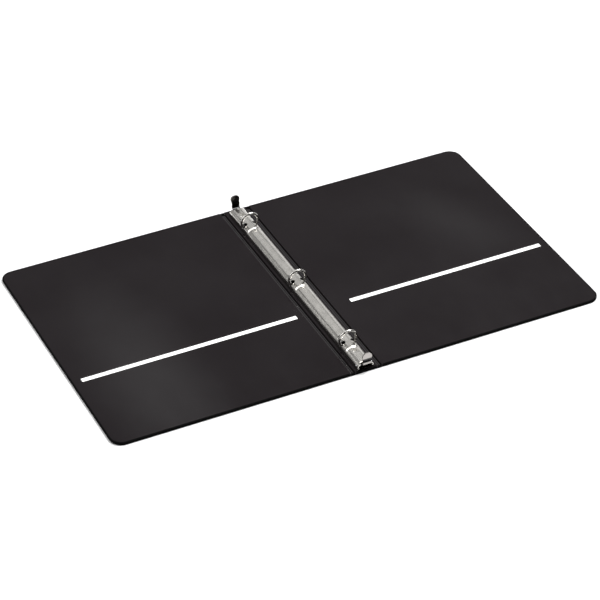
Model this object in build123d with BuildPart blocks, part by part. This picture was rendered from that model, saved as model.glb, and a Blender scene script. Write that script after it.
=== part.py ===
from build123d import *
import os
from math import cos, radians, sin

# A three-ring vinyl binder lying open and flat, inside up. X runs across both covers,
# Y runs along the spine, Z is up, and the origin is on the floor under the spine's middle.
# Everything is in millimetres.

# ---- driving dimensions: covers ----
COVER_HEIGHT = 292.1  # along the spine, 11.5 inches
COVER_REACH = 248.5  # spine centre line to a cover's fore edge
COVER_START = 15.4  # spine centre line to a cover's hinge edge
SPINE_HALF = 11.75  # half width of the stiff spine panel
CORNER_RADIUS = 12.0
SKIN = 0.4  # outer vinyl
BOARD = 2.1  # chipboard
LINER = 0.4  # inner vinyl
HINGE_SHEET = 0.8  # the two vinyls welded together
EDGE_WELD = 2.2  # vinyl beyond the board on the outer edges
HINGE_WELD = 0.6  # vinyl beyond the board along a hinge

# ---- driving dimensions: pocket slots in the liners ----
SLOT_HEIGHT = 5.4
FRONT_SLOT = (-239.1, -22.1, -44.9)  # X limits, then the Y of its middle
BACK_SLOT = (34.5, 240.5, -43.2)

# ---- driving dimensions: ring metal ----
RING_PITCH = 107.95  # 4.25 inches
RING_RADIUS = 8.55  # of the wire's centre line
RING_CENTRE_Z = 12.3
WIRE = 2.7
HOUSING_HALF_LENGTH = 141.5
HOUSING_MIDDLE = -2.5  # Y, the near end reaches further past its ring
HOUSING_HALF_WIDTH = 8.0
SHEET_METAL = 0.7  # housing wall
RING_LEG = 4.2  # straight end of the wire, through the carrier
SHOULDER_Z = 4.7  # where the housing's side walls start to arch over
ARCH_RISE = 5.3
RAISED_RISE = 5.9  # arch rise in the embossed zone around each ring
PIVOT_X = 6.5  # carrier pivot lines
PIVOT_Z = 5.4
CARRIER_TILT = 6.0  # degrees below flat when shut, above flat when open
CARRIER_THICKNESS = 0.9
LEVER_INSET = 4.0  # lever pin, from the end of the housing
RIVET_Y = 124.0

# ---- worked out ----
COVER_TOP = SKIN + BOARD + LINER
LINER_Z = SKIN + BOARD
RING_ROWS = {"far": RING_PITCH, "middle": 0.0, "near": -RING_PITCH}
ENDS = {"far": 1, "near": -1}
SIDES = {"left": -1, "right": 1}

# ---- rivets and spacers ----
RIVET_RADIUS = 2.0
RIVET_HOLE = 2.05
RIVET_HEAD_RADIUS = 3.1
RIVET_HEAD_HEIGHT = 0.5
RIVET_BEVEL = 0.3
RIVET_BORE = (1.2, 1.8)  # radius and depth of the hollow in a rivet's head
RIVET_FOOT_RADIUS = 4.0
SPACER_RADIUS = 3.0
SEAT_RADIUS = 3.4  # flat dimple in the arch under a rivet head
SEAT_WALL_RADIUS = 4.0
SEAT_TOP = 9.3

# ---- lever and its pin ----
PIN_RADIUS = 0.85
PIN_HALF_LENGTH = 8.1
LEVER_BORE = 0.9
HUB_RADIUS = 1.6
HUB_HALF_WIDTH = 4.0
LEVER_SHEET = 1.2
LEVER_HALF_WIDTH = 4.7
NECK_HALF_WIDTH = 4.0
LEVER_TOP = 16.0  # above the pin
LEVER_CORNER = 4.0
FINGER_REACH = 2.4  # pin to fingertip, towards the carriers
FINGER_RISE = 1.25  # fingertip above or below the mouth's middle
FINGER_RADIUS = 0.4
FINGER_HALF_WIDTH = 1.9
LEVER_TRAVEL = 30.0  # degrees
LEVER_LEAN = {"far": 0.0, "near": 4.5}  # degrees inwards at rest, within the fingers' play


def rivet_spots():
    """The two points along the spine where the ring metal is riveted on."""
    return Locations((0, RIVET_Y), (0, -RIVET_Y))


def from_end(end, distance):
    """Y of a point this far inside the housing's far or near end."""
    return HOUSING_MIDDLE + end * (HOUSING_HALF_LENGTH - distance)


def write(piece, name):
    """Labels a finished piece and writes it as its own file."""
    piece.part.label = name
    export_step(piece.part, f"parts/{name}.step")


# ---------------------------------------------------------------- covers
def cover_outline(side, edge_inset=0.0, hinge_inset=0.0):
    """One cover seen from above, with its two fore-edge corners rounded."""
    inner = COVER_START + hinge_inset
    outer = COVER_REACH - edge_inset
    with BuildSketch(Plane.XY) as outline:
        with Locations((side * (inner + outer) / 2, 0)):
            Rectangle(outer - inner, COVER_HEIGHT - 2 * edge_inset)
        fore_corners = outline.vertices().group_by(Axis.X)[-1 if side > 0 else 0]
        fillet(fore_corners, CORNER_RADIUS - edge_inset)
    return outline.sketch


def spine_outline(edge_inset=0.0, hinge_inset=0.0):
    """The spine panel seen from above."""
    with BuildSketch(Plane.XY) as outline:
        Rectangle(2 * (SPINE_HALF - hinge_inset), COVER_HEIGHT - 2 * edge_inset)
    return outline.sketch


def panel(outline, low, high):
    """A flat sheet of the given outline between two heights."""
    with BuildPart() as sheet:
        with BuildSketch(Plane.XY.offset(low)):
            add(outline)
        extrude(amount=high - low)
    return sheet


def outer_skin(outline, board_outline):
    """Outer vinyl: a sheet whose welded edge stands up round the board."""
    with BuildPart() as skin:
        with BuildSketch(Plane.XY):
            add(outline)
        extrude(amount=LINER_Z)
        with BuildSketch(Plane.XY.offset(SKIN)):
            add(board_outline)
        extrude(amount=BOARD, mode=Mode.SUBTRACT)
    return skin


def slotted_liner(outline, slot):
    """Inner vinyl of a cover, with the long slot of its pocket."""
    low_x, high_x, middle_y = slot
    with BuildPart() as liner:
        with BuildSketch(Plane.XY.offset(LINER_Z)):
            add(outline)
            with Locations(((low_x + high_x) / 2, middle_y)):
                Rectangle(high_x - low_x, SLOT_HEIGHT, mode=Mode.SUBTRACT)
        extrude(amount=LINER)
    return liner


def drill_spine(piece, radius, low, high):
    """Cuts a round hole at each rivet between two heights."""
    with BuildPart() as drilled:
        add(piece.part)
        with BuildSketch(Plane.XY.offset(low)):
            with rivet_spots():
                Circle(radius)
        extrude(amount=high - low, mode=Mode.SUBTRACT)
    return drilled


def hinge_strip(side):
    """The welded vinyl between the spine panel and one cover."""
    with BuildPart() as strip:
        with BuildSketch(Plane.XY):
            with Locations((side * (SPINE_HALF + COVER_START) / 2, 0)):
                Rectangle(COVER_START - SPINE_HALF, COVER_HEIGHT)
        extrude(amount=HINGE_SHEET)
    return strip


# ---------------------------------------------------------------- housing
def arch_outline(inset, rise, foot):
    """The housing's arched section, X across and Y up, drawn inset from its outside."""
    half_width = HOUSING_HALF_WIDTH - inset
    with BuildSketch() as section:
        with BuildLine():
            arch = EllipticalCenterArc(
                (0, SHOULDER_Z), half_width, rise - inset, start_angle=0, arc_size=180
            )
            Polyline(arch @ 1, (-half_width, foot), (half_width, foot), arch @ 0)
        make_face()
    return section.sketch


def arch_body(inset, foot):
    """The arch run along the spine, with a raised zone and two ramps at every ring."""
    raised_half = 9.5
    ramp = 2.0
    with BuildPart() as body:
        with BuildSketch(Plane.XZ.offset(-from_end(1, 0))):
            add(arch_outline(inset, ARCH_RISE, foot))
        extrude(amount=2 * HOUSING_HALF_LENGTH)
        for ring_y in RING_ROWS.values():
            stations = (
                (ring_y - raised_half - ramp, ARCH_RISE),
                (ring_y - raised_half, RAISED_RISE),
                (ring_y + raised_half, RAISED_RISE),
                (ring_y + raised_half + ramp, ARCH_RISE),
            )
            for (start, start_rise), (stop, stop_rise) in zip(stations, stations[1:]):
                with BuildSketch(Plane.XZ.offset(-start)):
                    add(arch_outline(inset, start_rise, foot))
                with BuildSketch(Plane.XZ.offset(-stop)):
                    add(arch_outline(inset, stop_rise, foot))
                loft(ruled=True)
    return body


def ring_wire(side, ring_y, opening, radius, start_angle, leg):
    """A round section swept along a ring half: an arc that runs down into a straight leg.

    Angles are in degrees above the ring centre's level. The path lies in a plane that
    turns with its carrier about the pivot line, by the given opening."""
    turn = radians(opening)
    leg_angle = -42.0
    swing_plane = Plane(
        origin=(side * PIVOT_X, ring_y, PIVOT_Z),
        x_dir=(cos(turn), 0, -side * sin(turn)),
        z_dir=(0, -1, 0),
    )
    ring_centre = (-side * PIVOT_X, RING_CENTRE_Z - PIVOT_Z)
    arc_start = start_angle if side > 0 else 180 - start_angle
    with BuildPart() as wire:
        with BuildLine(swing_plane) as path:
            arc = CenterArc(ring_centre, RING_RADIUS, arc_start, side * (leg_angle - start_angle))
            PolarLine(arc @ 1, leg, direction=arc % 1)
        with BuildSketch(Plane(origin=path.line @ 0, z_dir=path.line % 0)):
            Circle(radius)
        sweep()
    return wire.part


def curled_edge(side):
    """Foot flange and return wall along one lower edge, which a carrier rocks over."""
    wall = HOUSING_HALF_WIDTH - SHEET_METAL
    lip_inner = 6.45
    lip_outer = lip_inner + SHEET_METAL
    lip_top = 4.5
    flange_top = COVER_TOP + SHEET_METAL
    with BuildSketch() as section:
        with BuildLine():
            Polyline(
                (side * wall, COVER_TOP),
                (side * lip_inner, COVER_TOP),
                (side * lip_inner, lip_top),
                (side * lip_outer, lip_top),
                (side * lip_outer, flange_top),
                (side * wall, flange_top),
                close=True,
            )
        make_face()
    return section.sketch


def housing():
    """Arched sheet-metal housing with curled lower edges, open at both ends."""
    notch_half_width = 5.2
    notch_depth = 2.5
    ring_hole_radius = 1.95
    ring_hole_leg = 0.7
    ring_slot_x = 5.2
    ring_slot_length = 4.8
    ring_slot_width = 4.4
    seat_under = SEAT_TOP - SHEET_METAL
    with BuildPart() as shell:
        add(arch_body(0, COVER_TOP).part)
        add(arch_body(SHEET_METAL, COVER_TOP - 1).part, mode=Mode.SUBTRACT)
        with BuildSketch(Plane.XZ.offset(-from_end(1, 0))):
            add([curled_edge(side) for side in SIDES.values()])
        extrude(amount=2 * HOUSING_HALF_LENGTH)
        # flat dimples for the rivet heads, and the holes through them
        with BuildSketch(Plane.XY.offset(seat_under)):
            with rivet_spots():
                Circle(SEAT_WALL_RADIUS)
        extrude(amount=SHEET_METAL)
        with BuildSketch(Plane.XY.offset(SEAT_TOP)):
            with rivet_spots():
                Circle(SEAT_RADIUS)
        extrude(amount=RAISED_RISE, mode=Mode.SUBTRACT)
        with BuildSketch(Plane.XY.offset(seat_under)):
            with rivet_spots():
                Circle(RIVET_HOLE)
        extrude(amount=SHEET_METAL, mode=Mode.SUBTRACT)
        # the roof is cut back at both ends to let the levers swing
        with BuildSketch(Plane.XY.offset(SHOULDER_Z)):
            with Locations([(0, from_end(end, 0)) for end in ENDS.values()]):
                Rectangle(2 * notch_half_width, 2 * notch_depth)
        extrude(amount=RAISED_RISE + 1, mode=Mode.SUBTRACT)
        with BuildSketch(Plane.YZ):
            with Locations([(from_end(end, LEVER_INSET), PIVOT_Z) for end in ENDS.values()]):
                Circle(PIN_RADIUS)
        extrude(amount=HOUSING_HALF_WIDTH + 1, both=True, mode=Mode.SUBTRACT)
        # slots in both shoulders let every ring half swing; the holes follow it at half travel
        for ring_y in RING_ROWS.values():
            with BuildSketch(Plane.XY.offset(SHOULDER_Z)):
                with Locations((ring_slot_x, ring_y), (-ring_slot_x, ring_y)):
                    SlotOverall(ring_slot_length, ring_slot_width)
            extrude(amount=RAISED_RISE + 1, mode=Mode.SUBTRACT)
            for side in SIDES.values():
                hole = ring_wire(side, ring_y, CARRIER_TILT, ring_hole_radius, 0, ring_hole_leg)
                add(hole, mode=Mode.SUBTRACT)
    return shell


# ---------------------------------------------------------------- rings and carriers
def ring_half(side, ring_y):
    """Half of one ring. The right tip has a cone that sits in the left tip's socket."""
    tip_z = RING_CENTRE_Z + RING_RADIUS
    staked_end_z = 3.4
    cone_length = 0.9
    cone_radius = 0.75
    cone_taper = 18
    socket_play = 0.2
    tip_bevel = 0.18
    grow = 0 if side > 0 else socket_play
    tip_mode = Mode.ADD if side > 0 else Mode.SUBTRACT
    with BuildPart() as half:
        add(ring_wire(side, ring_y, 0, WIRE / 2, 90, RING_LEG))
        split(bisect_by=Plane.XY.offset(staked_end_z), keep=Keep.TOP)
        chamfer(half.faces().filter_by(Axis.X).edges(), tip_bevel)
        with BuildSketch(Plane(origin=(0, ring_y, tip_z), z_dir=(-1, 0, 0))):
            Circle(cone_radius + grow)
        extrude(amount=cone_length + grow, taper=cone_taper, mode=tip_mode)
    return half


def carrier(side):
    """Hinge plate that carries one half of every ring and rocks on its outer edge."""
    reach = 6.35  # pivot line to the inner edge
    wide_inset = 9.0  # from the housing's ends
    tongue_inset = 5.9
    tongue_width = 1.6
    cutout_radius = 3.3
    tilt = radians(CARRIER_TILT)
    # the plate's own plane: X points from the pivot line to the spine's centre line
    plate_plane = Plane(
        origin=(side * PIVOT_X, 0, PIVOT_Z),
        x_dir=(-side * cos(tilt), 0, -sin(tilt)),
        z_dir=(-side * sin(tilt), 0, cos(tilt)),
    )
    wide_length = 2 * (HOUSING_HALF_LENGTH - wide_inset)
    tongue_length = 2 * (HOUSING_HALF_LENGTH - tongue_inset)
    # along the plate's own Y, which points the other way on the right-hand carrier
    middle = -side * HOUSING_MIDDLE
    with BuildPart() as plate:
        with BuildSketch(plate_plane):
            with Locations((reach / 2, middle)):
                Rectangle(reach, wide_length)
            with Locations((reach - tongue_width / 2, middle)):
                Rectangle(tongue_width, tongue_length)
            with Locations((PIVOT_X, RIVET_Y), (PIVOT_X, -RIVET_Y)):
                Circle(cutout_radius, mode=Mode.SUBTRACT)
        extrude(amount=CARRIER_THICKNESS / 2, both=True)
        with BuildSketch(Plane.XZ.offset(-from_end(1, wide_inset))):
            with Locations((side * PIVOT_X, PIVOT_Z)):
                Circle(CARRIER_THICKNESS / 2)
        extrude(amount=wide_length)
        for ring_y in RING_ROWS.values():
            add(ring_wire(side, ring_y, 0, WIRE / 2, 0, RING_LEG), mode=Mode.SUBTRACT)
    return plate


# ---------------------------------------------------------------- levers, pins, rivets
def lever(end, lean_degrees):
    """Booster lever: a pressed tab on a hub, with two fingers round the carrier tongues."""
    lean = radians(lean_degrees)
    neck_start = (0.9, 0.9)
    neck_end = (5.0, 2.3)
    bulge_radius = 2.9
    bulge_turn = 99
    crease_radius = 1.6
    crease_turn = 60
    tab_radius = 9.0
    tab_turn = 33
    tab_length = 4.0
    tab_root = 7.9  # above the pin
    finger_root = 0.5
    pin_centre = (0, from_end(end, LEVER_INSET), PIVOT_Z)
    # side view: X points out of the housing, Y is up, both turned inwards by the lean
    side_view = Plane(
        origin=pin_centre,
        x_dir=(0, end * cos(lean), sin(lean)),
        z_dir=(end, 0, 0),
    )
    # front view: X as in the binder, Y up along the leaning tab
    front_view = Plane(
        origin=pin_centre,
        x_dir=(1, 0, 0),
        z_dir=(0, -cos(lean), -end * sin(lean)),
    )
    # the mouth points inwards, and downwards by half the lever's travel
    mouth_turn = lean + radians(LEVER_TRAVEL / 2)
    mouth_view = Plane(
        origin=pin_centre,
        x_dir=(0, end * cos(mouth_turn), sin(mouth_turn)),
        z_dir=(end, 0, 0),
    )
    tab_height = LEVER_TOP - tab_root
    with BuildPart() as piece:
        with BuildSketch(side_view):
            with BuildLine() as sheet_line:
                neck = Line(neck_start, neck_end)
                bulge = JernArc(neck @ 1, neck % 1, bulge_radius, bulge_turn)
                crease = JernArc(bulge @ 1, bulge % 1, crease_radius, -crease_turn)
                rise = JernArc(crease @ 1, crease % 1, tab_radius, tab_turn)
                PolarLine(rise @ 1, tab_length, direction=rise % 1)
            trace(sheet_line.line, line_width=LEVER_SHEET)
        extrude(amount=LEVER_HALF_WIDTH, both=True)
        # seen from the front it is a rounded tab on a narrower neck
        with BuildSketch(front_view):
            with Locations((0, tab_root + tab_height / 2)):
                RectangleRounded(2 * LEVER_HALF_WIDTH, tab_height, LEVER_CORNER)
            Rectangle(2 * NECK_HALF_WIDTH, 2 * (tab_root + LEVER_CORNER))
        extrude(amount=LEVER_TOP, both=True, mode=Mode.INTERSECT)
        with BuildSketch(side_view):
            Circle(HUB_RADIUS)
        extrude(amount=HUB_HALF_WIDTH, both=True)
        with BuildSketch(mouth_view):
            finger_middle = -(finger_root + FINGER_REACH) / 2
            with Locations((finger_middle, FINGER_RISE), (finger_middle, -FINGER_RISE)):
                SlotCenterToCenter(FINGER_REACH - finger_root, 2 * FINGER_RADIUS)
        extrude(amount=FINGER_HALF_WIDTH, both=True)
        with BuildSketch(side_view):
            Circle(LEVER_BORE)
        extrude(amount=LEVER_HALF_WIDTH, both=True, mode=Mode.SUBTRACT)
    return piece


def lever_pin(end):
    """Steel pin through both housing walls and the lever's hub."""
    end_bevel = 0.2
    with BuildPart() as pin:
        with BuildSketch(Plane.YZ):
            with Locations((from_end(end, LEVER_INSET), PIVOT_Z)):
                Circle(PIN_RADIUS)
        extrude(amount=PIN_HALF_LENGTH, both=True)
        chamfer(pin.faces().filter_by(Axis.X).edges(), end_bevel)
    return pin


def rivet(end):
    """Hollow rivet from under the outer vinyl to its flat head in the housing's dimple."""
    bore_radius, bore_depth = RIVET_BORE
    head_top = SEAT_TOP + RIVET_HEAD_HEIGHT
    middle = Plane(origin=(0, end * RIVET_Y, 0), x_dir=(1, 0, 0), z_dir=(0, -1, 0))
    with BuildPart() as piece:
        with BuildSketch(middle):
            with BuildLine():
                Polyline(
                    (0, head_top),
                    (RIVET_HEAD_RADIUS - RIVET_BEVEL, head_top),
                    (RIVET_HEAD_RADIUS, head_top - RIVET_BEVEL),
                    (RIVET_HEAD_RADIUS, SEAT_TOP),
                    (RIVET_RADIUS, SEAT_TOP),
                    (RIVET_RADIUS, SKIN),
                    (RIVET_FOOT_RADIUS, SKIN),
                    (RIVET_FOOT_RADIUS, 0),
                    (0, 0),
                    close=True,
                )
            make_face()
        revolve(axis=Axis((0, end * RIVET_Y, 0), (0, 0, 1)))
        with BuildSketch(Plane.XY.offset(head_top - bore_depth)):
            with Locations((0, end * RIVET_Y)):
                Circle(bore_radius)
        extrude(amount=bore_depth, mode=Mode.SUBTRACT)
    return piece


def spacer(end):
    """Tube on the rivet that keeps the arch from being squashed."""
    with BuildPart() as tube:
        with BuildSketch(Plane.XY.offset(COVER_TOP)):
            with Locations((0, end * RIVET_Y)):
                Circle(SPACER_RADIUS)
                Circle(RIVET_HOLE, mode=Mode.SUBTRACT)
        extrude(amount=SEAT_TOP - SHEET_METAL - COVER_TOP)
    return tube


# ---------------------------------------------------------------- build and write
os.makedirs("parts", exist_ok=True)

for cover, side, slot in (("front", -1, FRONT_SLOT), ("back", 1, BACK_SLOT)):
    whole = cover_outline(side)
    stiffened = cover_outline(side, EDGE_WELD, HINGE_WELD)
    write(outer_skin(whole, stiffened), f"outer_skin_{cover}")
    write(panel(stiffened, SKIN, LINER_Z), f"board_{cover}")
    write(slotted_liner(whole, slot), f"liner_{cover}")
    write(hinge_strip(side), f"hinge_{cover}")

spine_whole = spine_outline()
spine_stiffened = spine_outline(EDGE_WELD, HINGE_WELD)
spine_skin = outer_skin(spine_whole, spine_stiffened)
write(drill_spine(spine_skin, RIVET_FOOT_RADIUS, 0, SKIN), "outer_skin_spine")
spine_board = panel(spine_stiffened, SKIN, LINER_Z)
write(drill_spine(spine_board, RIVET_HOLE, SKIN, LINER_Z), "board_spine")
spine_liner = panel(spine_whole, LINER_Z, COVER_TOP)
write(drill_spine(spine_liner, RIVET_HOLE, LINER_Z, COVER_TOP), "liner_spine")

write(housing(), "housing")
for side_name, side in SIDES.items():
    write(carrier(side), f"carrier_{side_name}")
    for row, ring_y in RING_ROWS.items():
        write(ring_half(side, ring_y), f"ring_{row}_{side_name}")
for end_name, end in ENDS.items():
    write(lever(end, LEVER_LEAN[end_name]), f"lever_{end_name}")
    write(lever_pin(end), f"lever_pin_{end_name}")
    write(rivet(end), f"rivet_{end_name}")
    write(spacer(end), f"spacer_{end_name}")
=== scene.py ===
from collections import namedtuple
from math import cos, pi, radians, sin

import bmesh
import bpy
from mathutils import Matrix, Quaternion, Vector


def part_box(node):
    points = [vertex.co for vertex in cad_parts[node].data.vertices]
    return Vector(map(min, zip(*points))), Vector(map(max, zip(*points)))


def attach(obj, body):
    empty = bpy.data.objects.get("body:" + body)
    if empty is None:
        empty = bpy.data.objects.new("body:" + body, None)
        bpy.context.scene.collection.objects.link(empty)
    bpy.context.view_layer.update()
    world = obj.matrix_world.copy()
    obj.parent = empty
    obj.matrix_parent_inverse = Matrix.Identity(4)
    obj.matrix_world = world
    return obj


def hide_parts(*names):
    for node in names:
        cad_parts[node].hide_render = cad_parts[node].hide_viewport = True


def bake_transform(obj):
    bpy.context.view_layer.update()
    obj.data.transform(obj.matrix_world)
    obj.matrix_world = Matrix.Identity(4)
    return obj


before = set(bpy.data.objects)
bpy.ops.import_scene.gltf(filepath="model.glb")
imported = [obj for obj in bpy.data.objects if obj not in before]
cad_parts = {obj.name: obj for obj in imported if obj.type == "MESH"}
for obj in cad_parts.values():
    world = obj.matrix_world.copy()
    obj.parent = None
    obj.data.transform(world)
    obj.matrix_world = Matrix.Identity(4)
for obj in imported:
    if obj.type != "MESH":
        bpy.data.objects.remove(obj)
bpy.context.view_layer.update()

# A three-ring vinyl binder lying open. The metal is the CAD's own, with nickel and zinc finishes;
# every vinyl part is rebuilt here with its welds, rounded rims and pressed grooves.
# Lengths are in metres.

MM = 0.001

# ---- camera ----
CAMERA_PLACE = Vector((-0.8643, -1.8509, 1.4614))
CAMERA_FORWARD = Vector((0.3438, 0.7342, -0.5854))
CAMERA_ROLL = radians(-0.912)
CAMERA_LENS = 158.1  # millimetres
SENSOR_WIDTH = 36.0  # millimetres

# ---- vinyl ----
SKIN = 0.4 * MM  # outer sheet
LINER_Z = 2.5 * MM  # where the two sheets meet on a welded rim
LINER_TOP = 2.9 * MM
EDGE_WELD = 2.2 * MM  # solid vinyl outside the board, on the free edges
HINGE_WELD = 0.6 * MM  # the same, along a hinge
CORNER_RADIUS = 12.0 * MM
HINGE_CORNER_RADIUS = 0.6 * MM
SLOT_HEIGHT = 5.4 * MM
FRONT_SLOT = (-239.1 * MM, -22.1 * MM, -44.9 * MM)  # X limits, then the Y of its middle
BACK_SLOT = (34.5 * MM, 240.5 * MM, -43.2 * MM)
RIVET_SHANK = 2.05 * MM
RIVET_FOOT = 4.0 * MM
TRAY_SHADED_STEPS = 5  # how many steps of the tray's rim are its dull edge, darkened as painted shade
LINER_SHADED_STEPS = 6  # the same, on the liner's rim


# ---------------------------------------------------------------- meshes
Panel = namedtuple("Panel", "low_x high_x half_y low_hinged high_hinged")
# One step of a rim's section: how far in from a free edge, how far in from a hinge edge, height.
Step = namedtuple("Step", "edge hinge z")


def panel_from(node, low_hinged, high_hinged):
    """The plan of a CAD cover part, and which of its two long sides meet a hinge."""
    low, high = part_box(node)
    return Panel(low.x, high.x, high.y, low_hinged, high_hinged)


def panel_loop(panel, step, corner_points=10):
    """Points round a panel, moved in from its sides by one step of a rim's section."""
    low_x = panel.low_x + (step.hinge if panel.low_hinged else step.edge)
    high_x = panel.high_x - (step.hinge if panel.high_hinged else step.edge)
    half_y = panel.half_y - step.edge
    fore_radius = CORNER_RADIUS - step.edge
    low_radius = HINGE_CORNER_RADIUS if panel.low_hinged else fore_radius
    high_radius = HINGE_CORNER_RADIUS if panel.high_hinged else fore_radius
    corners = (
        (low_x, -half_y, low_radius, 1, 1, 180),
        (high_x, -half_y, high_radius, -1, 1, 270),
        (high_x, half_y, high_radius, -1, -1, 0),
        (low_x, half_y, low_radius, 1, -1, 90),
    )
    points = []
    for x, y, radius, to_x, to_y, start in corners:
        centre = Vector((x + to_x * radius, y + to_y * radius, step.z))
        for k in range(corner_points + 1):
            angle = radians(start + 90 * k / corner_points)
            points.append(centre + radius * Vector((cos(angle), sin(angle), 0)))
    return points


def circle_loop(centre_x, centre_y, radius, z, count=32):
    """Points round a circle."""
    turns = (2 * pi * k / count for k in range(count))
    return [Vector((centre_x + radius * cos(a), centre_y + radius * sin(a), z)) for a in turns]


def slot_loop(slot, grow, z, corner_points=4):
    """Points round a pocket slot, grown outwards by the given amount."""
    low_x, high_x, middle_y = slot
    corner = 0.5 * MM  # the corners' radius keeps its centre while the loop grows
    centres = (
        (low_x + corner, middle_y - SLOT_HEIGHT / 2 + corner, 180),
        (high_x - corner, middle_y - SLOT_HEIGHT / 2 + corner, 270),
        (high_x - corner, middle_y + SLOT_HEIGHT / 2 - corner, 0),
        (low_x + corner, middle_y + SLOT_HEIGHT / 2 - corner, 90),
    )
    radius = corner + grow
    points = []
    for x, y, start in centres:
        for k in range(corner_points + 1):
            angle = radians(start + 90 * k / corner_points)
            points.append(Vector((x + radius * cos(angle), y + radius * sin(angle), z)))
    return points


def add_loop(mesh, points):
    """Adds one closed loop of vertices."""
    return [mesh.verts.new(point) for point in points]


def bridge(mesh, loops):
    """Joins each loop to the next with a band of four-sided faces."""
    for lower, upper in zip(loops, loops[1:]):
        count = len(lower)
        for k in range(count):
            after = (k + 1) % count
            mesh.faces.new((lower[k], lower[after], upper[after], upper[k]))


def cap(mesh, loops):
    """Fills the flat region inside the first loop and outside the others."""
    edges = []
    for loop in loops:
        for k, vertex in enumerate(loop):
            neighbour = loop[(k + 1) % len(loop)]
            edge = mesh.edges.get((vertex, neighbour)) or mesh.edges.new((vertex, neighbour))
            edges.append(edge)
    bmesh.ops.triangle_fill(mesh, use_beauty=True, use_dissolve=False, edges=edges)


def finish_piece(mesh, name, material, sharp_angle=40):
    """Turns a bmesh into a named object with one material, shaded smooth up to an angle."""
    merge_distance = 0.0005 * MM
    bmesh.ops.remove_doubles(mesh, verts=mesh.verts, dist=merge_distance)
    bmesh.ops.recalc_face_normals(mesh, faces=mesh.faces)
    data = bpy.data.meshes.new(name)
    mesh.to_mesh(data)
    mesh.free()
    for face in data.polygons:
        face.use_smooth = True
    data.set_sharp_from_angle(angle=radians(sharp_angle))
    piece = bpy.data.objects.new(name, data)
    bpy.context.scene.collection.objects.link(piece)
    data.materials.append(material)
    return piece


# ---------------------------------------------------------------- vinyl pieces
# Outside of the tray, from the top of the rim down, round the lower edge, across the pressed
# weld line and onto the flat underside.
TRAY_OUTSIDE = (
    Step(0.00 * MM, 0.30 * MM, 2.50 * MM),
    Step(0.00 * MM, 0.10 * MM, 1.60 * MM),
    Step(0.00 * MM, 0.00 * MM, 0.80 * MM),
    Step(0.06 * MM, 0.00 * MM, 0.42 * MM),
    Step(0.25 * MM, 0.02 * MM, 0.16 * MM),
    Step(0.60 * MM, 0.08 * MM, 0.02 * MM),
    Step(0.95 * MM, 0.16 * MM, 0.00 * MM),
    Step(1.30 * MM, 0.24 * MM, 0.04 * MM),
    Step(1.55 * MM, 0.32 * MM, 0.17 * MM),
    Step(1.95 * MM, 0.42 * MM, 0.17 * MM),
    Step(2.20 * MM, 0.52 * MM, 0.04 * MM),
    Step(2.60 * MM, 0.80 * MM, 0.00 * MM),
    Step(3.00 * MM, 1.10 * MM, 0.00 * MM),
)
# The pocket that the board lies in, from its rim down.
TRAY_INSIDE = (
    Step(EDGE_WELD, HINGE_WELD, LINER_Z),
    Step(EDGE_WELD, HINGE_WELD, SKIN),
)
# Top of the liner, from the seam up over a raised bead, through the weld groove to the flat.
LINER_RIM = (
    Step(0.00 * MM, 0.30 * MM, 2.50 * MM),
    Step(0.03 * MM, 0.36 * MM, 2.64 * MM),
    Step(0.18 * MM, 0.50 * MM, 2.82 * MM),
    Step(0.45 * MM, 0.72 * MM, 2.92 * MM),
    Step(0.85 * MM, 0.95 * MM, 2.94 * MM),
    Step(1.25 * MM, 1.15 * MM, 2.90 * MM),
    Step(1.50 * MM, 1.30 * MM, 2.84 * MM),
    Step(1.85 * MM, 1.50 * MM, 2.83 * MM),
    Step(2.15 * MM, 1.70 * MM, 2.87 * MM),
    Step(2.60 * MM, 2.00 * MM, 2.90 * MM),
    Step(3.10 * MM, 2.40 * MM, 2.90 * MM),
)
# Round a slot: outwards from the cut, over the swollen edge to the flat. Grow, height.
SLOT_RIM = (
    (0.00 * MM, 2.50 * MM),
    (0.00 * MM, 2.78 * MM),
    (0.10 * MM, 2.90 * MM),
    (0.35 * MM, 2.96 * MM),
    (0.70 * MM, 2.95 * MM),
    (1.30 * MM, 2.90 * MM),
    (1.70 * MM, 2.90 * MM),
)


def rivet_spots():
    """Centres of the two rivets along the spine."""
    return [(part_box(f"rivet_{end}")[0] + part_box(f"rivet_{end}")[1]) / 2 for end in ("far", "near")]


def mark_shaded_edge(mesh, panel):
    """Gives the faces made so far the dull, near-black second material (painted shade), apart from those
    along a hinge.
    """
    near_hinge = 1.3 * MM
    for face in mesh.faces:
        x = face.calc_center_median().x
        at_low = panel.low_hinged and x < panel.low_x + near_hinge
        at_high = panel.high_hinged and x > panel.high_x - near_hinge
        face.material_index = 0 if at_low or at_high else 1


def outer_skin(name, panel, material, rim_material, drilled=False):
    """The outer vinyl: a tray whose rim stands up round the board, with a dull cut edge darkened as
    painted shade.
    """
    mesh = bmesh.new()
    outside = [add_loop(mesh, panel_loop(panel, step)) for step in TRAY_OUTSIDE]
    inside = [add_loop(mesh, panel_loop(panel, step)) for step in TRAY_INSIDE]
    bridge(mesh, outside[:TRAY_SHADED_STEPS])
    mark_shaded_edge(mesh, panel)
    bridge(mesh, outside[TRAY_SHADED_STEPS - 1:])
    bridge(mesh, [outside[0]] + inside)
    bottom = [outside[-1]]
    floor = [inside[-1]]
    if drilled:
        for spot in rivet_spots():
            low = add_loop(mesh, circle_loop(spot.x, spot.y, RIVET_FOOT, 0))
            high = add_loop(mesh, circle_loop(spot.x, spot.y, RIVET_FOOT, SKIN))
            bridge(mesh, [low, high])
            bottom.append(low)
            floor.append(high)
    cap(mesh, bottom)
    cap(mesh, floor)
    piece = finish_piece(mesh, name, material)
    piece.data.materials.append(rim_material)
    return piece


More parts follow.
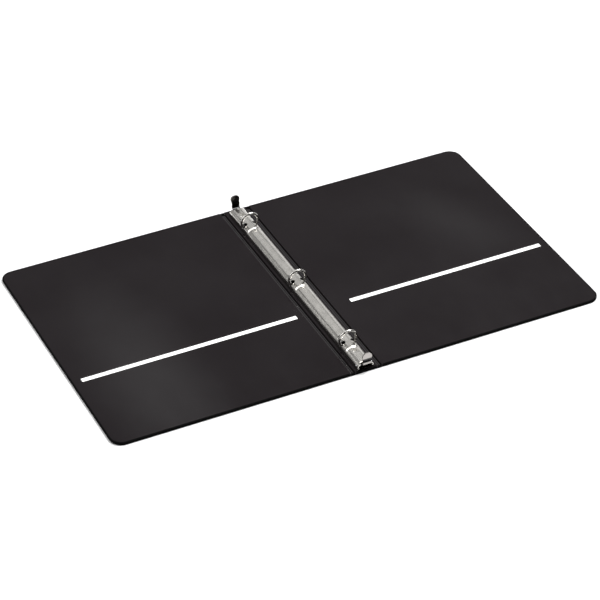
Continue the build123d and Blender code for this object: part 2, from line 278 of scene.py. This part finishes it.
def liner(name, panel, material, rim_material, slot=None, drilled=False):
    """The inner vinyl: a sheet whose welded rim is dull and darkened as painted shade, and a pocket slot
    or rivet holes.
    """
    mesh = bmesh.new()
    rim = [add_loop(mesh, panel_loop(panel, step)) for step in LINER_RIM]
    bridge(mesh, rim[:LINER_SHADED_STEPS])
    mark_shaded_edge(mesh, panel)
    bridge(mesh, rim[LINER_SHADED_STEPS - 1:])
    under = [rim[0]]
    top = [rim[-1]]
    if slot:
        edge = [add_loop(mesh, slot_loop(slot, grow, z)) for grow, z in SLOT_RIM]
        bridge(mesh, edge)
        under.append(edge[0])
        top.append(edge[-1])
    if drilled:
        for spot in rivet_spots():
            low = add_loop(mesh, circle_loop(spot.x, spot.y, RIVET_SHANK, LINER_Z))
            high = add_loop(mesh, circle_loop(spot.x, spot.y, RIVET_SHANK, LINER_TOP))
            bridge(mesh, [low, high])
            under.append(low)
            top.append(high)
    cap(mesh, under)
    cap(mesh, top)
    piece = finish_piece(mesh, name, material)
    piece.data.materials.append(rim_material)
    return piece


def hinge(name, node, material, rim_material):
    """The welded vinyl between the spine and a cover: a strip with pressed lines along it."""
    low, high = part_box(node)
    width = high.x - low.x
    # share of the width, then the drop of the top face in millimetres
    top_section = (
        (0.00, 0.00), (0.08, 0.01), (0.14, 0.10), (0.22, 0.16), (0.32, 0.16), (0.40, 0.08),
        (0.46, 0.02), (0.54, 0.02), (0.60, 0.08), (0.68, 0.16), (0.78, 0.16), (0.86, 0.10),
        (0.92, 0.01), (1.00, 0.00),
    )
    underside_lift = 0.12 * MM
    end_lift = 1.7 * MM  # the edge weld runs straight across the groove's ends
    end_length = 3.0 * MM
    # millimetres from the end, close together where the end rises
    distances = (0.0, 0.4, 0.8, 1.2, 1.6, 2.0, 2.4, 3.0, 6.0, 20.0, 60.0)
    rows = [low.y + distance * MM for distance in distances] + [0.0]
    rows += [-y for y in reversed(rows[:-1])]
    mesh = bmesh.new()
    sections = []
    for y in rows:
        near_end = max(0.0, 1 - (high.y - abs(y)) / end_length)
        top = high.z + end_lift * near_end * near_end * (3 - 2 * near_end)
        across = [Vector((low.x + share * width, y, top - drop * MM)) for share, drop in top_section]
        for share, drop in reversed(top_section):
            rise = underside_lift * sin(pi * share)
            across.append(Vector((low.x + share * width, y, low.z + rise)))
        sections.append(add_loop(mesh, across))
    bridge(mesh, sections)
    mesh.faces.new(sections[0])
    mesh.faces.new(sections[-1])
    # Painted shade: the strip's ends take the dull, near-black second material.
    for face in mesh.faces:
        if abs(face.calc_center_median().y) > high.y - end_length:
            face.material_index = 1
    piece = finish_piece(mesh, name, material, sharp_angle=60)
    piece.data.materials.append(rim_material)
    return piece


# ---------------------------------------------------------------- materials
def new_material(name):
    """A node material holding only a Principled shader, and that shader."""
    material = bpy.data.materials.new(name)
    material.use_nodes = True
    tree = material.node_tree
    tree.nodes.clear()
    output = tree.nodes.new("ShaderNodeOutputMaterial")
    shader = tree.nodes.new("ShaderNodeBsdfPrincipled")
    tree.links.new(shader.outputs["BSDF"], output.inputs["Surface"])
    return material, shader


def add_node(material, kind, inputs=None, **settings):
    """Adds a node, sets its properties, and sets or links its inputs."""
    tree = material.node_tree
    made = tree.nodes.new(kind)
    for name, value in settings.items():
        setattr(made, name, value)
    for socket, value in (inputs or {}).items():
        if isinstance(value, bpy.types.NodeSocket):
            tree.links.new(value, made.inputs[socket])
        else:
            made.inputs[socket].default_value = value
    return made


def connect(material, output, socket):
    """Links an output to a shader's input."""
    material.node_tree.links.new(output, socket)


def stretched_place(material, scale=(1, 1, 1)):
    """The surface's own coordinates in metres, multiplied per axis."""
    place = add_node(material, "ShaderNodeTexCoord").outputs["Object"]
    mapping = add_node(material, "ShaderNodeMapping", {"Vector": place, "Scale": scale})
    return mapping.outputs["Vector"]


def noise(material, place, per_metre, detail=3.0, roughness=0.5):
    """A noise value between 0 and 1."""
    inputs = {"Vector": place, "Scale": per_metre, "Detail": detail, "Roughness": roughness}
    return add_node(material, "ShaderNodeTexNoise", inputs).outputs[0]


def remap(material, value, low, high, from_low=0.3, from_high=0.7):
    """Stretches a value to new limits, with soft ends."""
    inputs = {"Value": value, "From Min": from_low, "From Max": from_high, "To Min": low, "To Max": high}
    made = add_node(material, "ShaderNodeMapRange", inputs, interpolation_type="SMOOTHSTEP")
    return made.outputs["Result"]


def mix_colour(material, share, low, high):
    """A colour between two others."""
    mixer = add_node(material, "ShaderNodeMix", data_type="RGBA")
    connect(material, share, mixer.inputs[0])
    mixer.inputs[6].default_value = (*low, 1)
    mixer.inputs[7].default_value = (*high, 1)
    return mixer.outputs[2]


def bump(material, height, distance, before=None, strength=1.0):
    """A bump on top of an earlier one."""
    inputs = {"Height": height, "Distance": distance, "Strength": strength}
    if before is not None:
        inputs["Normal"] = before
    return add_node(material, "ShaderNodeBump", inputs).outputs["Normal"]


def sheen_patch(material, patch):
    """A soft oval in a cover's plane: 1 in its middle, fading to 0 at its edge."""
    (x, y), (reach_x, reach_y), turn = patch
    place = add_node(material, "ShaderNodeTexCoord").outputs["Object"]
    inputs = {
        "Vector": place,
        "Location": (x, y, 0),
        "Rotation": (0, 0, radians(turn)),
        "Scale": (reach_x, reach_y, 1),
    }
    oval = add_node(material, "ShaderNodeMapping", inputs, vector_type="TEXTURE").outputs["Vector"]
    distance = add_node(material, "ShaderNodeVectorMath", {0: oval}, operation="LENGTH").outputs["Value"]
    return remap(material, distance, 1, 0, 0, 1)


def vinyl(name, colours, grain_size, grain_depth, roughness, shine, patches=()):
    """Black calendered vinyl: pressed grain, slow waves, a mottled gloss and soft patches of painted
    sheen.
    """
    dark, light = colours
    wave_depth = 0.5 * MM
    fine_depth = 0.002 * MM
    material, shader = new_material(name)
    place = stretched_place(material)
    mottle = noise(material, place, 9.0, detail=4.0)
    smears = noise(material, stretched_place(material, (1, 0.35, 1)), 60.0, detail=5.0)
    colour = mix_colour(material, remap(material, mottle, 0, 1), dark, light)
    connect(material, colour, shader.inputs["Base Color"])
    gloss = remap(material, smears, roughness - 0.03, roughness + 0.04)
    connect(material, gloss, shader.inputs["Roughness"])
    shader.inputs["IOR"].default_value = 1.45
    level = remap(material, mottle, 0.9 * shine, 1.1 * shine)
    # Painted sheen: each patch raises the specular level in a soft oval.
    for patch, gain in patches:
        inputs = {0: sheen_patch(material, patch), 1: gain * shine, 2: level}
        level = add_node(material, "ShaderNodeMath", inputs, operation="MULTIPLY_ADD").outputs[0]
    connect(material, level, shader.inputs["Specular IOR Level"])
    shape = bump(material, noise(material, place, 5.0, detail=1.0), wave_depth)
    creases = add_node(
        material,
        "ShaderNodeTexVoronoi",
        {"Vector": place, "Scale": 1 / grain_size, "Randomness": 0.9},
        feature="DISTANCE_TO_EDGE",
    ).outputs["Distance"]
    pebbles = remap(material, creases, 0, 1, 0.0, 0.35)
    grain = bump(material, pebbles, grain_depth, shape)
    fine = bump(material, noise(material, place, 2600.0, detail=2.0), fine_depth, grain)
    connect(material, fine, shader.inputs["Normal"])
    return material


def painted_shade_band(material, low_z, high_z):
    """How much painted shade lies at a height: most in the middle of a band, with a ragged edge."""
    raggedness = 0.6 * MM
    edge = 0.7 * MM
    place = add_node(material, "ShaderNodeTexCoord").outputs["Object"]
    height = add_node(material, "ShaderNodeSeparateXYZ", {"Vector": place}).outputs["Z"]
    spots = noise(material, place, 900.0, detail=4.0)
    inputs = {0: spots, 1: raggedness, 2: height}
    ragged = add_node(material, "ShaderNodeMath", inputs, operation="MULTIPLY_ADD").outputs[0]
    above = remap(material, ragged, 0, 1, low_z, low_z + edge)
    below = remap(material, ragged, 1, 0, high_z - edge, high_z)
    return add_node(material, "ShaderNodeMath", {0: above, 1: below}, operation="MULTIPLY").outputs[0]


# Colour of the painted shade on the levers.
PAINTED_SHADE_COLOUR = (0.02, 0.02, 0.02)
MARK_SHADE = 0.86  # how dark a handling mark is, as a share of the clean plate
WAVE_DEPTH = 0.03 * MM  # slow waves in the pressed sheet


def nickel(name, colour, roughness, streak_depth, painted_shade=None):
    """Nickel plate over drawn steel: fine lines along the spine, faint handling marks, and optionally a
    band of painted shade.
    """
    material, shader = new_material(name)
    shader.inputs["Metallic"].default_value = 1.0
    place = stretched_place(material)
    streaks = noise(material, stretched_place(material, (1, 0.012, 1)), 2400.0, detail=4.0)
    marks = noise(material, place, 140.0, detail=5.0, roughness=0.6)
    shade = tuple(MARK_SHADE * part for part in colour)
    tint = mix_colour(material, remap(material, marks, 0, 1), shade, colour)
    # Painted shade: the plate is darkened in a band at these heights.
    if painted_shade:
        shaded_tint = add_node(material, "ShaderNodeMix", data_type="RGBA")
        connect(material, painted_shade_band(material, *painted_shade), shaded_tint.inputs[0])
        connect(material, tint, shaded_tint.inputs[6])
        shaded_tint.inputs[7].default_value = (*PAINTED_SHADE_COLOUR, 1)
        tint = shaded_tint.outputs[2]
    connect(material, tint, shader.inputs["Base Color"])
    gloss = remap(material, streaks, roughness - 0.06, roughness + 0.08)
    connect(material, gloss, shader.inputs["Roughness"])
    waves = bump(material, noise(material, stretched_place(material, (1, 0.3, 1)), 70.0), WAVE_DEPTH)
    lines = bump(material, streaks, streak_depth, waves)
    connect(material, lines, shader.inputs["Normal"])
    return material


def zinc(name):
    """Dull zinc plate, slightly blue, with a crystalline mottle."""
    material, shader = new_material(name)
    shader.inputs["Metallic"].default_value = 1.0
    place = stretched_place(material)
    crystals = add_node(
        material, "ShaderNodeTexVoronoi", {"Vector": place, "Scale": 700.0}
    ).outputs["Distance"]
    tint = mix_colour(material, remap(material, crystals, 0, 1), (0.42, 0.43, 0.45), (0.62, 0.63, 0.64))
    connect(material, tint, shader.inputs["Base Color"])
    gloss = remap(material, noise(material, place, 300.0), 0.28, 0.45)
    connect(material, gloss, shader.inputs["Roughness"])
    grain = bump(material, noise(material, place, 1800.0), 0.02 * MM)
    connect(material, grain, shader.inputs["Normal"])
    return material


def paper_board(name):
    """White paper over chipboard: faint fibres and a slightly uneven tone."""
    material, shader = new_material(name)
    place = stretched_place(material)
    fibres = noise(material, stretched_place(material, (1, 3, 1)), 900.0, detail=5.0)
    tone = mix_colour(material, remap(material, fibres, 0, 1), (0.83, 0.83, 0.82), (0.92, 0.92, 0.91))
    connect(material, tone, shader.inputs["Base Color"])
    connect(material, remap(material, fibres, 0.75, 0.9), shader.inputs["Roughness"])
    connect(material, bump(material, noise(material, place, 1500.0), 0.03 * MM), shader.inputs["Normal"])
    return material


def studio_floor(name):
    """Matt pale sweep, lit until it shows as white."""
    material, shader = new_material(name)
    place = stretched_place(material)
    dark, light = (0.74,) * 3, (0.77,) * 3
    tone = mix_colour(material, remap(material, noise(material, place, 3.0), 0, 1), dark, light)
    connect(material, tone, shader.inputs["Base Color"])
    shader.inputs["Roughness"].default_value = 0.9
    shader.inputs["Specular IOR Level"].default_value = 0.1
    return material


def nodes_named(*starts):
    """The CAD nodes whose names begin in one of these ways."""
    return [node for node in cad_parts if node.startswith(starts)]


def dress(nodes, material):
    """Gives CAD nodes a material."""
    for node in nodes:
        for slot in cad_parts[node].material_slots:
            slot.material = material


# ---------------------------------------------------------------- the binder
BLACK = ((0.0038, 0.0021, 0.0028), (0.0050, 0.0032, 0.0040))
# Painted shade: a dull, near-black vinyl with almost no shine, for the tray's cut edge, the liners'
# welded beads and the hinge ends, so that they show black.
SHADED_EDGE_BLACK = ((0.0018,) * 3, (0.0028,) * 3)
# Painted sheen on the liners, where the covers' slight bow catches the light: ((middle, reach, turn in
# degrees), gain in shine).
SHEEN_PATCHES = (
    (((-180 * MM, -70 * MM), (72 * MM, 200 * MM), 0), 1.75),
    (((184 * MM, 35 * MM), (50 * MM, 120 * MM), 21), 0.65),
)
outer_vinyl = vinyl(
    "outer_vinyl", BLACK, grain_size=0.9 * MM, grain_depth=0.04 * MM, roughness=0.34, shine=0.30
)
liner_vinyl = vinyl(
    "liner_vinyl",
    BLACK,
    grain_size=0.5 * MM,
    grain_depth=0.004 * MM,
    roughness=0.22,
    shine=0.20,
    patches=SHEEN_PATCHES,
)
weld_vinyl = vinyl(
    "weld_vinyl", BLACK, grain_size=0.5 * MM, grain_depth=0.002 * MM, roughness=0.16, shine=0.75
)
shaded_edge_vinyl = vinyl(
    "shaded_edge_vinyl", SHADED_EDGE_BLACK, grain_size=0.5 * MM, grain_depth=0.010 * MM, roughness=0.60, shine=0.02
)
bright_nickel = nickel("ring_nickel", (0.64, 0.62, 0.59), roughness=0.17, streak_depth=0.001 * MM)
# Painted shade: a dark band across the bend at the root of the near lever's tab, and over most of the
# far lever, where these faces lie in shade and mirror the black vinyl.
# Painted shade: the levers' nickel is given about half the housing's brightness, toning down the white
# floor they mirror.
LEVER_METAL = {"colour": (0.39, 0.37, 0.355), "roughness": 0.06, "streak_depth": 0.001 * MM}
near_lever_nickel = nickel("near_lever_nickel", painted_shade=(11.4 * MM, 16.6 * MM), **LEVER_METAL)
far_lever_nickel = nickel("far_lever_nickel", painted_shade=(7.0 * MM, 17.0 * MM), **LEVER_METAL)
housing_nickel = nickel("housing_nickel", (0.72, 0.70, 0.66), roughness=0.20, streak_depth=0.003 * MM)
plated_steel = zinc("plated_steel")
lined_board = paper_board("lined_board")

front = panel_from("outer_skin_front", False, True)
back = panel_from("outer_skin_back", True, False)
spine = panel_from("outer_skin_spine", True, True)

for cover, panel, slot in (("front", front, FRONT_SLOT), ("back", back, BACK_SLOT)):
    skin_piece = outer_skin(f"{cover}_outer_vinyl", panel, outer_vinyl, shaded_edge_vinyl)
    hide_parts(f"outer_skin_{cover}")
    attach(skin_piece, f"{cover}_cover")
    liner_piece = liner(f"{cover}_liner_vinyl", panel, liner_vinyl, shaded_edge_vinyl, slot=slot)
    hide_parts(f"liner_{cover}")
    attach(liner_piece, f"{cover}_cover")

spine_skin = outer_skin("spine_outer_vinyl", spine, outer_vinyl, shaded_edge_vinyl, drilled=True)
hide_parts("outer_skin_spine")
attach(spine_skin, "spine")
spine_liner = liner("spine_liner_vinyl", spine, liner_vinyl, shaded_edge_vinyl, drilled=True)
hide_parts("liner_spine")
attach(spine_liner, "spine")

for cover, spine_edge, cover_edge in (
    ("front", spine.low_x, front.high_x),
    ("back", spine.high_x, back.low_x),
):
    strip = hinge(f"{cover}_hinge_vinyl", f"hinge_{cover}", weld_vinyl, shaded_edge_vinyl)
    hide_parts(f"hinge_{cover}")
    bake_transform(strip)

dress(nodes_named("ring_"), bright_nickel)
dress(nodes_named("lever_near"), near_lever_nickel)
dress(nodes_named("lever_far"), far_lever_nickel)
dress(nodes_named("housing", "rivet_"), housing_nickel)
dress(nodes_named("carrier_", "lever_pin_", "spacer_"), plated_steel)
dress(nodes_named("board_"), lined_board)


# ---------------------------------------------------------------- floor, light and camera
def floor_plane():
    """A white floor, large enough to fill every view."""
    reach = 12.0
    drop = 0.05 * MM  # keeps it clear of the binder's underside
    mesh = bmesh.new()
    bmesh.ops.create_grid(mesh, x_segments=8, y_segments=8, size=reach)
    data = bpy.data.meshes.new("floor")
    mesh.to_mesh(data)
    mesh.free()
    data.materials.append(studio_floor("floor_white"))
    plane = bpy.data.objects.new("floor", data)
    plane.location.z = -drop
    bpy.context.scene.collection.objects.link(plane)


def softbox(name, place, target, width, height, watts):
    """A rectangular area light facing a point."""
    light = bpy.data.lights.new(name, "AREA")
    light.shape = "RECTANGLE"
    light.size = width
    light.size_y = height
    light.energy = watts
    lamp = bpy.data.objects.new(name, light)
    lamp.location = place
    lamp.rotation_mode = "QUATERNION"
    lamp.rotation_quaternion = (Vector(target) - Vector(place)).to_track_quat("-Z", "Y")
    bpy.context.scene.collection.objects.link(lamp)


def surroundings(brightness):
    """An even pale sky."""
    world = bpy.data.worlds.new("studio")
    world.use_nodes = True
    background = world.node_tree.nodes["Background"]
    background.inputs["Color"].default_value = (1, 1, 1, 1)
    background.inputs["Strength"].default_value = brightness
    bpy.context.scene.world = world


def camera():
    """A long lens looking down across the open binder from its near left corner."""
    lens = bpy.data.cameras.new("camera")
    lens.lens = CAMERA_LENS
    lens.sensor_width = SENSOR_WIDTH
    lens.clip_start = 0.05
    lens.clip_end = 50.0
    body = bpy.data.objects.new("camera", lens)
    body.location = CAMERA_PLACE
    body.rotation_mode = "QUATERNION"
    level = CAMERA_FORWARD.to_track_quat("-Z", "Y")
    body.rotation_quaternion = level @ Quaternion((0, 0, 1), CAMERA_ROLL)
    bpy.context.scene.collection.objects.link(body)
    bpy.context.scene.camera = body


floor_plane()
surroundings(brightness=0.10)
# name, place, target, width, height, watts
for soft_light in (
    ("key", (2.5, 0.0, 4.35), (0, 0, 0), 2.6, 2.6, 370),
    ("overhead", (0.3, 0.5, 2.3), (0.3, 0.5, 0), 2.2, 2.2, 24),
    ("back_panel", (0.58, 1.79, 1.64), (0, 0, 0), 2.4, 1.2, 4.6),
    ("left_back_panel", (-1.45, 1.75, 0.85), (0, 0, 0), 2.4, 1.5, 2.6),
    ("left", (-1.75, 0.62, 1.65), (0, 0, 0), 2.0, 2.0, 31),
    ("right_panel", (1.88, 1.56, 0.50), (0, 0, 0), 2.0, 0.95, 4.2),
):
    softbox(*soft_light)
camera()
bpy.context.scene.view_settings.view_transform = "Standard"
